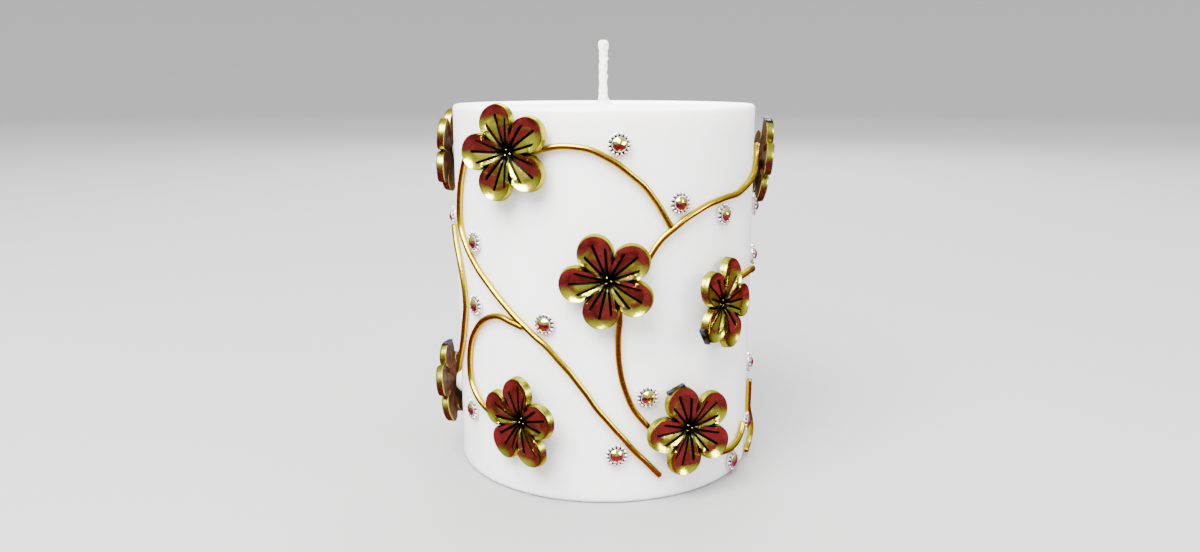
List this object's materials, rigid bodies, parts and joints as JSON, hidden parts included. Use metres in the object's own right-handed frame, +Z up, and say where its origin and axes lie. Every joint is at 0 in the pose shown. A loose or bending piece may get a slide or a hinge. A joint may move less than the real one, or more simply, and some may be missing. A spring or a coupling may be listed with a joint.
{
  "type": "decorated unity candle",
  "caption": "White wax pillar candle with a braided wick, dressed with gilt five-petal flowers, curling gold wire vines and small rhinestone studs.",
  "frame": {"origin": "centre of the pillar's flat base, on the wick's axis", "axes": "+Z up along the wick; -Y towards the decorated front, with the flower called centre on it; +X to the right of someone facing the front"},
  "size_m": [0.0845, 0.0845, 0.1053],
  "materials": {
    "wax": "smooth white paraffin wax, translucent, soft sheen",
    "wick": "braided cotton, primed with wax",
    "tinned_steel": "thin tinned sheet, dull",
    "antique_gilt": "polished gilt casting with black antiquing in the grooves",
    "hot_glue": "clear to milky hot-melt glue, glossy",
    "gold_wire": "anodised gold craft wire, glossy, lightly drawn",
    "stud_metal": "champagne plated beaded setting",
    "rhinestone": "foil-backed faceted stone, champagne"
  },
  "bodies": {
    "root": {"wax_body": "wax", "wick": "wick", "wick_sustainer": "tinned_steel", "flower_upper_left": "antique_gilt", "flower_centre": "antique_gilt", "flower_middle_right": "antique_gilt", "flower_lower_left": "antique_gilt", "flower_lower_right": "antique_gilt", "flower_left_side_top": "antique_gilt", "flower_left_side_low": "antique_gilt", "flower_right_side_top": "antique_gilt", "flower_back_right": "antique_gilt", "flower_back_low": "antique_gilt", "flower_back_left": "antique_gilt", "glue_upper_left": "hot_glue", "glue_centre": "hot_glue", "glue_middle_right": "hot_glue", "glue_lower_left": "hot_glue", "glue_lower_right": "hot_glue", "glue_left_side_top": "hot_glue", "glue_left_side_low": "hot_glue", "glue_right_side_top": "hot_glue", "glue_back_right": "hot_glue", "glue_back_low": "hot_glue", "glue_back_left": "hot_glue", "vine_1": "gold_wire", "vine_2": "gold_wire", "vine_3": "gold_wire", "vine_4": "gold_wire", "vine_5": "gold_wire", "vine_6": "gold_wire", "vine_7": "gold_wire", "vine_8": "gold_wire", "vine_9": "gold_wire", "vine_10": "gold_wire", "vine_11": "gold_wire", "vine_12": "gold_wire", "vine_13": "gold_wire", "vine_14": "gold_wire", "stud_1": "stud_metal", "stud_2": "stud_metal", "stud_3": "stud_metal", "stud_4": "stud_metal", "stud_5": "stud_metal", "stud_6": "stud_metal", "stud_7": "stud_metal", "stud_8": "stud_metal", "stud_9": "stud_metal", "stud_10": "stud_metal", "stud_11": "stud_metal", "stud_12": "stud_metal", "stud_13": "stud_metal", "stud_14": "stud_metal", "stud_15": "stud_metal", "stud_16": "stud_metal", "stud_17": "stud_metal", "stud_18": "stud_metal", "stud_19": "stud_metal", "stud_20": "stud_metal", "stud_21": "stud_metal"}
  },
  "joints": []
}
